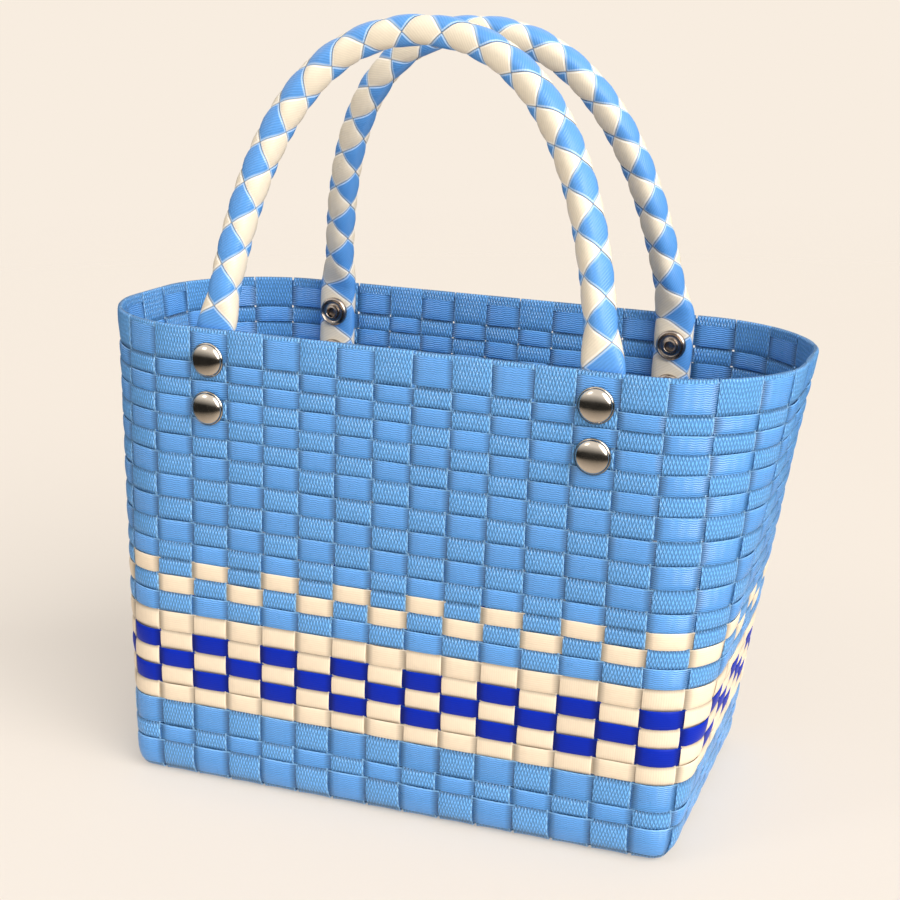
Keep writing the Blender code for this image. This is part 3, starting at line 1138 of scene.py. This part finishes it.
@dataclass
class Rivets:
    """The rivets of both handles: domed caps outside, turned sockets inside."""

    form: BagForm
    columns: tuple[float, ...]
    cap_radius: float = 7.1 * MM
    cap_height: float = 3.6 * MM
    cap_edge: float = 0.9 * MM
    socket_radius: float = 6.5 * MM
    socket_height: float = 3.6 * MM
    bore: float = 2.1 * MM
    tail_thickness: float = 7.2 * MM
    fit: float = 0.3 * MM
    drops: tuple[float, float] = (12.2 * MM, 31.7 * MM)
    segments: int = 48
    dome_steps: int = 12

    def cap_profile(self) -> list[tuple[float, float]]:
        """The outside of a cap.

        Returns:
            Radius and height, from the middle of the dome to the middle of the underside.
        """
        radius, edge = self.cap_radius, self.cap_edge
        inner, dome_height = radius - 0.55 * MM, self.cap_height - edge
        turns = np.linspace(0, math.pi / 2, self.dome_steps)
        dome = [(inner * math.sin(turn), edge + dome_height * math.cos(turn)) for turn in turns]
        lip = [
            (radius - 0.35 * MM, edge + 0.12 * MM),
            (radius, edge - 0.2 * MM),
            (radius, 0.25 * MM),
            (radius - 0.3 * MM, 0),
            (0, 0),
        ]
        return dome + lip

    def socket_profile(self) -> list[tuple[float, float]]:
        """The outside of a socket.

        Returns:
            Radius and height, from the floor of its hole, up the collar, over the bead and down to its edge.
        """
        hole, outer, top = self.bore, self.socket_radius, self.socket_height
        collar = hole + 0.9 * MM
        return [
            (0, 0.1 * MM),
            (hole, 0.1 * MM),
            (hole, top - 0.3 * MM),
            (hole + 0.3 * MM, top),
            (collar, top - 0.2 * MM),
            (collar + 0.3 * MM, 1.2 * MM),
            (outer - 2.2 * MM, 0.8 * MM),
            (outer - 1.5 * MM, 1.1 * MM),
            (outer - 0.8 * MM, 1.7 * MM),
            (outer - 0.2 * MM, 1.3 * MM),
            (outer, 0.6 * MM),
            (outer, 0),
            (0, 0),
        ]

    def turned(
        self, name: str, profile: list[tuple[float, float]], material: bpy.types.Material
    ) -> bpy.types.Object:
        """Turns a profile into a closed mesh round Z.

        Args:
            name: The object's name.
            profile: Radius and height, from the axis and back to it.
            material: Its finish.

        Returns:
            The object.
        """
        points = [(0.0, 0.0, profile[0][1])]
        faces = []
        rings = [pair for pair in profile if pair[0] > 0]
        for radius, height in rings:
            for step in range(self.segments):
                angle = 2 * math.pi * step / self.segments
                points.append((radius * math.cos(angle), radius * math.sin(angle), height))
        last = len(points)
        points.append((0.0, 0.0, profile[-1][1]))
        for step in range(self.segments):
            after = (step + 1) % self.segments
            faces.append((0, 1 + step, 1 + after))
            for ring in range(len(rings) - 1):
                low, high = 1 + ring * self.segments, 1 + (ring + 1) * self.segments
                faces.append((low + step, high + step, high + after, low + after))
            final = 1 + (len(rings) - 1) * self.segments
            faces.append((last, final + after, final + step))
        mesh = bpy.data.meshes.new(name)
        mesh.from_pydata(points, [], faces)
        mesh.materials.append(material)
        mesh.shade_smooth()
        mesh.set_sharp_from_angle(angle=METAL_SHARP)
        return bpy.data.objects.new(name, mesh)

    def tree(self, name: str) -> bpy.types.NodeTree:
        """Builds the node tree that sets a turned piece on each place, turned as the place says.

        Args:
            name: The tree's name.

        Returns:
            The tree, with inputs Places, Piece and Finish.
        """
        tree = bpy.data.node_groups.new(name, "GeometryNodeTree")
        for socket, kind in (("Places", "Geometry"), ("Piece", "Object"), ("Finish", "Material")):
            tree.interface.new_socket(socket, in_out="INPUT", socket_type=f"NodeSocket{kind}")
        tree.interface.new_socket("Pieces", in_out="OUTPUT", socket_type="NodeSocketGeometry")
        source = tree.nodes.new("NodeGroupInput")
        result = tree.nodes.new("NodeGroupOutput")
        info = tree.nodes.new("GeometryNodeObjectInfo")
        turn = tree.nodes.new("GeometryNodeInputNamedAttribute")
        turn.data_type = "FLOAT_VECTOR"
        turn.inputs["Name"].default_value = "turn"
        spin = tree.nodes.new("FunctionNodeEulerToRotation")
        place = tree.nodes.new("GeometryNodeInstanceOnPoints")
        real = tree.nodes.new("GeometryNodeRealizeInstances")
        finish = tree.nodes.new("GeometryNodeSetMaterial")
        link = tree.links.new
        link(source.outputs["Places"], place.inputs["Points"])
        link(source.outputs["Piece"], info.inputs["Object"])
        link(info.outputs["Geometry"], place.inputs["Instance"])
        link(turn.outputs["Attribute"], spin.inputs[0])
        link(spin.outputs[0], place.inputs["Rotation"])
        link(place.outputs[0], real.inputs[0])
        link(real.outputs[0], finish.inputs["Geometry"])
        link(source.outputs["Finish"], finish.inputs["Material"])
        link(finish.outputs[0], result.inputs[0])
        return tree

    def spread(
        self, name: str, piece: bpy.types.Object, places: list[Matrix], material: bpy.types.Material
    ) -> bpy.types.Object:
        """Sets copies of a piece on places, as one plain mesh.

        Args:
            name: The finished object's name.
            piece: The turned piece.
            places: Where the copies go.
            material: Their finish.

        Returns:
            The finished object.
        """
        mesh = bpy.data.meshes.new(name)
        mesh.from_pydata([tuple(place.translation) for place in places], [], [])
        turns = mesh.attributes.new("turn", "FLOAT_VECTOR", "POINT")
        turns.data.foreach_set("vector", [value for place in places for value in place.to_euler()])
        spread = bpy.data.objects.new(name, mesh)
        bpy.context.scene.collection.objects.link(spread)
        modifier = spread.modifiers.new("places", "NODES")
        modifier.node_group = self.tree(f"{name}_on_places")
        sockets = {item.name: item.identifier for item in modifier.node_group.interface.items_tree}
        modifier[sockets["Piece"]] = piece
        modifier[sockets["Finish"]] = material
        graph = bpy.context.evaluated_depsgraph_get()
        finished = bpy.data.meshes.new_from_object(spread.evaluated_get(graph))
        spread.modifiers.clear()
        spread.data = finished
        bpy.data.objects.remove(piece)
        return spread

    def build(self) -> list[bpy.types.Object]:
        """Builds the caps and the sockets.

        Returns:
            The two pieces: all caps, all sockets.
        """
        nickel, hollow = NICKEL.material(), HOLLOW.material()
        cap = self.turned("cap_master", self.cap_profile(), nickel)
        socket = self.turned("socket_master", self.socket_profile(), hollow)
        heights = [self.form.height - drop for drop in self.drops]
        walls = [self.form.frame_at(column, height) for column in self.columns for height in heights]
        seat = Matrix.Translation((0, 0, self.form.wall / 2 + self.fit))
        depth = self.form.wall / 2 + self.fit + self.tail_thickness + self.fit
        inside = Matrix.Translation((0, 0, -depth)) @ Matrix.Rotation(math.pi, 4, "X")
        caps = self.spread("rivet_caps", cap, [wall @ seat for wall in walls], nickel)
        sockets = self.spread("rivet_sockets", socket, [wall @ inside for wall in walls], hollow)
        return [caps, sockets]


@dataclass
class Studio:
    """The floor, the lights and the camera."""

    azimuth: float = math.radians(21.52)
    elevation: float = math.radians(15.4)
    roll: float = math.radians(-0.41)
    distance: float = 640 * MM
    focal_pixels: float = 1505.9
    frame_pixels: int = 900
    sensor: float = 36.0
    target: tuple[float, float, float] = (-10 * MM, 0.0, 150 * MM)
    slide: tuple[float, float] = (7.08 * MM, -9.06 * MM)
    floor_color: Color = (0.83, 0.75, 0.665)
    floor_reach: float = 4.0
    wall_color: Color = (0.939, 0.847, 0.745)
    light_color: Color = (1.0, 0.985, 0.965)
    room_light: float = 0.54
    mirror_light: tuple[float, float] = (0.04, 1.7)
    mirror_rise: float = 0.5
    key_color: Color = (1.0, 0.985, 0.96)
    key_strength: float = 3.15
    key_width: float = math.radians(56)
    key_from: tuple[float, float, float] = (1.5, -0.8, 1.1)
    lamp_target: tuple[float, float, float] = (0.0, 0.0, 0.12)
    shadow_lift: float = 0.38
    floor_drop: float = 0.2 * MM
    fade_from: float = 0.15
    fade_to: float = 0.6

    def camera(self) -> None:
        """Places the camera at the photograph's viewing angle."""
        az, el = self.azimuth, self.elevation
        forward = Vector((-math.sin(az) * math.cos(el), math.cos(az) * math.cos(el), -math.sin(el)))
        right = Vector((math.cos(az), math.sin(az), 0))
        up = right.cross(forward)
        target = Vector(self.target) + right * self.slide[0] + up * self.slide[1]
        turned_right = right * math.cos(self.roll) + up * math.sin(self.roll)
        turned_up = up * math.cos(self.roll) - right * math.sin(self.roll)
        matrix = Matrix((turned_right, turned_up, -forward)).transposed().to_4x4()
        matrix.translation = target - forward * self.distance
        data = bpy.data.cameras.new("camera")
        data.sensor_width = self.sensor
        data.lens = self.focal_pixels / self.frame_pixels * self.sensor
        data.clip_start = 0.01
        camera = bpy.data.objects.new("camera", data)
        camera.matrix_world = matrix
        bpy.context.scene.collection.objects.link(camera)
        bpy.context.scene.camera = camera

    def lamp(self, name: str, place: Vector, size: float, power: float, color: Color) -> None:
        """Adds a soft square lamp that looks at the bag.

        Args:
            name: The lamp's name.
            place: Where it hangs.
            size: Its side.
            power: Its power in watts.
            color: Its colour.
        """
        data = bpy.data.lights.new(name, "AREA")
        data.size = size
        data.energy = power
        data.color = color
        lamp = bpy.data.objects.new(name, data)
        aim = Vector(self.lamp_target) - place
        lamp.matrix_world = Matrix.Translation(place) @ aim.to_track_quat("-Z", "Y").to_matrix().to_4x4()
        bpy.context.scene.collection.objects.link(lamp)

    def world(self) -> None:
        """Fills the room with pale light, and shows the backdrop's colour to the camera.

        The room that gloss and metal mirror is darker low down.
        """
        world = bpy.data.worlds.new("room")
        bpy.context.scene.world = world
        world.use_nodes = True
        tree = world.node_tree
        tree.nodes.clear()
        output = tree.nodes.new("ShaderNodeOutputWorld")
        rays = tree.nodes.new("ShaderNodeLightPath")
        seen = tree.nodes.new("ShaderNodeBackground")
        seen.inputs["Color"].default_value = (*self.wall_color, 1)
        light = tree.nodes.new("ShaderNodeBackground")
        light.inputs["Color"].default_value = (*self.light_color, 1)
        light.inputs["Strength"].default_value = self.room_light
        mirror = tree.nodes.new("ShaderNodeBackground")
        place = tree.nodes.new("ShaderNodeTexCoord")
        split = tree.nodes.new("ShaderNodeSeparateXYZ")
        ramp = tree.nodes.new("ShaderNodeMapRange")
        ramp.inputs["From Max"].default_value = self.mirror_rise
        for name, value in zip(("To Min", "To Max"), self.mirror_light):
            ramp.inputs[name].default_value = value
        both = tree.nodes.new("ShaderNodeMixShader")
        mix = tree.nodes.new("ShaderNodeMixShader")
        link = tree.links.new
        link(place.outputs["Generated"], split.inputs[0])
        link(split.outputs["Z"], ramp.inputs["Value"])
        link(ramp.outputs["Result"], mirror.inputs["Strength"])
        link(rays.outputs["Is Glossy Ray"], both.inputs[0])
        link(light.outputs[0], both.inputs[1])
        link(mirror.outputs[0], both.inputs[2])
        link(rays.outputs["Is Camera Ray"], mix.inputs[0])
        link(both.outputs[0], mix.inputs[1])
        link(seen.outputs[0], mix.inputs[2])
        link(mix.outputs[0], output.inputs[0])

    def floor(self) -> bpy.types.Object:
        """A pale floor that fades into the backdrop far from the bag.

        Returns:
            The floor.
        """
        reach = self.floor_reach
        mesh = bpy.data.meshes.new("floor")
        signs = ((-1, -1), (1, -1), (1, 1), (-1, 1))
        corners = [(x * reach, y * reach, -self.floor_drop) for x, y in signs]
        mesh.from_pydata(corners, [], [(0, 1, 2, 3)])
        graph = ShaderGraph("pale_paper")
        place = graph.tree.nodes.new("ShaderNodeTexCoord")
        far = graph.tree.nodes.new("ShaderNodeVectorMath")
        far.operation = "LENGTH"
        graph.link(place.outputs["Object"], far.inputs[0])
        ring = graph.tree.nodes.new("ShaderNodeMapRange")
        ring.interpolation_type = "SMOOTHSTEP"
        ring.inputs["From Min"].default_value = reach * self.fade_from
        ring.inputs["From Max"].default_value = reach * self.fade_to
        graph.link(far.outputs["Value"], ring.inputs["Value"])
        rays = graph.tree.nodes.new("ShaderNodeLightPath")
        # Gloss and metal see less and less of the floor from 160 mm out, and the room instead.
        near = graph.math("MULTIPLY_ADD", far.outputs["Value"], 2.5, -0.4)
        unseen = graph.math("MULTIPLY", rays.outputs["Is Glossy Ray"], graph.math("MINIMUM", near, 1.0))
        fade = graph.math("MAXIMUM", ring.outputs["Result"], unseen)
        grain = graph.noise(900.0, 2.0)
        color = graph.tinted(self.floor_color, graph.math("MULTIPLY_ADD", grain, 0.02, 0.99))
        graph.principled(color, 0.9, graph.bump(grain, 0.01 * MM, 0.2), metallic=0.0, specular=0.1)
        paper = graph.output.inputs[0].links[0].from_socket
        glow = graph.tree.nodes.new("ShaderNodeEmission")
        glow.inputs["Color"].default_value = (*self.wall_color, 1)
        lifted = graph.tree.nodes.new("ShaderNodeMixShader")
        lifted.inputs[0].default_value = self.shadow_lift
        graph.link(paper, lifted.inputs[1])
        graph.link(glow.outputs[0], lifted.inputs[2])
        clear = graph.tree.nodes.new("ShaderNodeBsdfTransparent")
        blend = graph.tree.nodes.new("ShaderNodeMixShader")
        graph.link(fade, blend.inputs[0])
        graph.link(lifted.outputs[0], blend.inputs[1])
        graph.link(clear.outputs[0], blend.inputs[2])
        graph.link(blend.outputs[0], graph.output.inputs[0])
        mesh.materials.append(graph.done())
        floor = bpy.data.objects.new("floor", mesh)
        bpy.context.scene.collection.objects.link(floor)
        return floor

    def sun(self) -> None:
        """Adds the wide soft key that lights the bag and the whole floor alike."""
        data = bpy.data.lights.new("key", "SUN")
        data.energy = self.key_strength
        data.angle = self.key_width
        data.color = self.key_color
        sun = bpy.data.objects.new("key", data)
        sun.rotation_euler = Vector(self.key_from).to_track_quat("Z", "Y").to_euler()
        bpy.context.scene.collection.objects.link(sun)

    def build(self) -> None:
        """Sets the stage."""
        self.camera()
        self.world()
        self.sun()
        white = (1.0, 1.0, 1.0)
        self.lamp("glint", Vector((-0.9, -1.1, 1.3)), size=0.5, power=3.0, color=white)
        self.lamp("corner_glint", Vector((1.1, -0.62, 0.62)), size=0.35, power=2.4, color=white)
        self.floor()
        bpy.context.scene.view_settings.view_transform = "Standard"


LEVEL = {tint: finish.material() for tint, finish in LEVEL_FINISHES.items()}
UPRIGHT = {Tint.BLUE: UPRIGHT_BLUE.material(), Tint.CREAM: LEVEL[Tint.CREAM]}
BRAIDS = {tint: finish.material() for tint, finish in BRAID_FINISHES.items()}


def main() -> None:
    """Builds the bag around the frame and reports each piece."""
    logging.basicConfig(level=logging.INFO, format="%(message)s")
    form = BagForm()
    behind = form.front_columns + form.side_columns
    reach = form.front_columns - HANDLE_INSET
    handle_columns = {"front": (HANDLE_INSET, reach), "back": (behind + HANDLE_INSET, behind + reach)}
    pieces = []
    for piece in Weave(form).build():
        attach(piece, "root")
        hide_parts("woven_basket")
        pieces.append(piece)
    for side, columns in handle_columns.items():
        node = f"handle_{side}"
        for piece in BraidedHandle(form, node, columns, BRAID_TWISTS[side]).build():
            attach(piece, "root")
            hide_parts(node)
            pieces.append(piece)
    caps, sockets = Rivets(form, handle_columns["front"] + handle_columns["back"]).build()
    for piece, kind in ((caps, "rivet_cap"), (sockets, "rivet_socket")):
        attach(piece, "root")
        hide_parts(*[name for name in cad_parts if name.startswith(kind)])
        pieces.append(piece)
    for piece in pieces:
        LOG.info("%s: %d faces", piece.name, len(piece.data.polygons))
    Studio().build()


if __name__ == "__main__":
    main()
